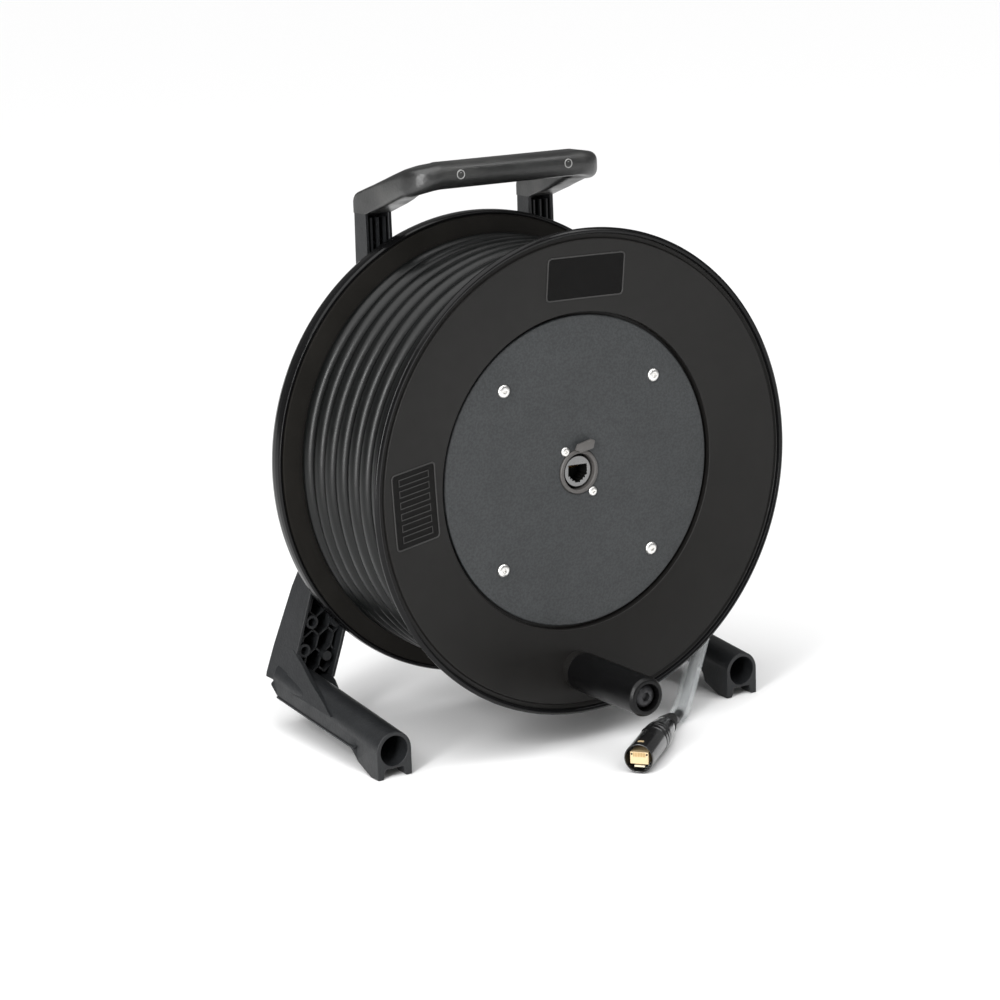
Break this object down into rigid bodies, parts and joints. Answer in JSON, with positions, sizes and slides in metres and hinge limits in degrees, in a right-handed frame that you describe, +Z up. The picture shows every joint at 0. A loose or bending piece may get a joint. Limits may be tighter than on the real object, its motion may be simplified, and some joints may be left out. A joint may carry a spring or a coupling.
{
  "type": "network cable drum on a carrying frame",
  "caption": "Open drum of round cable turning on a one-sided carrying frame with a hand grip, splayed tube feet, crank knob, hub data socket and a free cable end with plug.",
  "frame": {"origin": "centre of the drum-and-frame box on the floor it stands on, measured without the free cable end and its plug", "axes": "+X to the right and -Y to the front as seen from the crank side, drum axis along Y, +Z up"},
  "size_m": [0.3066, 0.2395, 0.367],
  "materials": {
    "flange_plastic": "satin black moulded plastic",
    "frame_plastic": "matte dark grey moulded plastic",
    "grip_plastic": "worn satin black plastic",
    "plate_coating": "fine textured blue-grey coating",
    "cable_rubber": "satin black jacket",
    "heel_rubber": "matte black rubber",
    "screw_steel": "bright plated steel",
    "spindle_zinc": "zinc plated steel",
    "receptacle_grey": "grey moulded plastic",
    "receptacle_nickel": "nickel plated shell",
    "contact_gold": "gold plated contacts",
    "knob_plastic": "satin black plastic",
    "badge_plastic": "blank dark badge",
    "bush_polymer": "grey bearing polymer",
    "sleeve_vinyl": "smoky clear flexible sleeve",
    "lead_jacket": "black jacket",
    "plug_black": "glossy black"
  },
  "bodies": {
    "frame": {"side_member_left": "frame_plastic", "side_member_right": "frame_plastic", "handle_arm_left": "frame_plastic", "handle_arm_right": "frame_plastic", "grip_bar": "grip_plastic", "grip_screw_left": "grip_plastic", "grip_screw_right": "grip_plastic", "foot_left": "frame_plastic", "foot_right": "frame_plastic", "heel_left": "heel_rubber", "heel_right": "heel_rubber", "hub_bridge": "frame_plastic", "bridge_bolt_1": "spindle_zinc", "bridge_bolt_2": "spindle_zinc", "bridge_bolt_3": "spindle_zinc", "bridge_bolt_4": "spindle_zinc", "spindle": "spindle_zinc", "spindle_washer": "spindle_zinc", "spindle_nut": "spindle_zinc", "tail_cable": "cable_rubber", "lead_sleeve": "sleeve_vinyl", "lead_cable": "lead_jacket", "plug_boot": "heel_rubber", "plug_body": "plug_black", "plug_collar": "plug_black", "plug_shell": "plug_black", "plug_contacts": "contact_gold"},
    "drum": {"front_flange": "flange_plastic", "rear_flange": "flange_plastic", "drum_core": "flange_plastic", "hub_tube": "flange_plastic", "bush_front": "bush_polymer", "bush_rear": "bush_polymer", "cable_winding": "cable_rubber", "connector_plate": "plate_coating", "plate_screw_1": "screw_steel", "plate_screw_2": "screw_steel", "plate_screw_3": "screw_steel", "plate_screw_4": "screw_steel", "receptacle_screw_1": "screw_steel", "receptacle_screw_2": "screw_steel", "receptacle_ring": "receptacle_grey", "receptacle_shell": "receptacle_nickel", "receptacle_contacts": "contact_gold", "badge_top": "badge_plastic", "badge_side": "badge_plastic", "crank_base": "flange_plastic", "crank_bolt": "screw_steel"},
    "crank_knob": {"crank_sleeve": "knob_plastic"},
    "latch": {"latch_tab": "receptacle_grey"}
  },
  "joints": [
    {"name": "drum_spin", "type": "hinge", "parent": "frame", "child": "drum", "pos_m": [0, 0, 0.175], "axis": [0, 1, 0], "continuous": true},
    {"name": "crank_spin", "type": "hinge", "parent": "drum", "child": "crank_knob", "pos_m": [-0.00856, -0.08, 0.04949], "axis": [0, 1, 0], "continuous": true},
    {"name": "latch_push", "type": "slide", "parent": "drum", "child": "latch", "axis": [0, 1, 0], "range_m": [0, 0.0014], "stiffness_N_per_m": 300, "springref_m": -0.001}
  ]
}
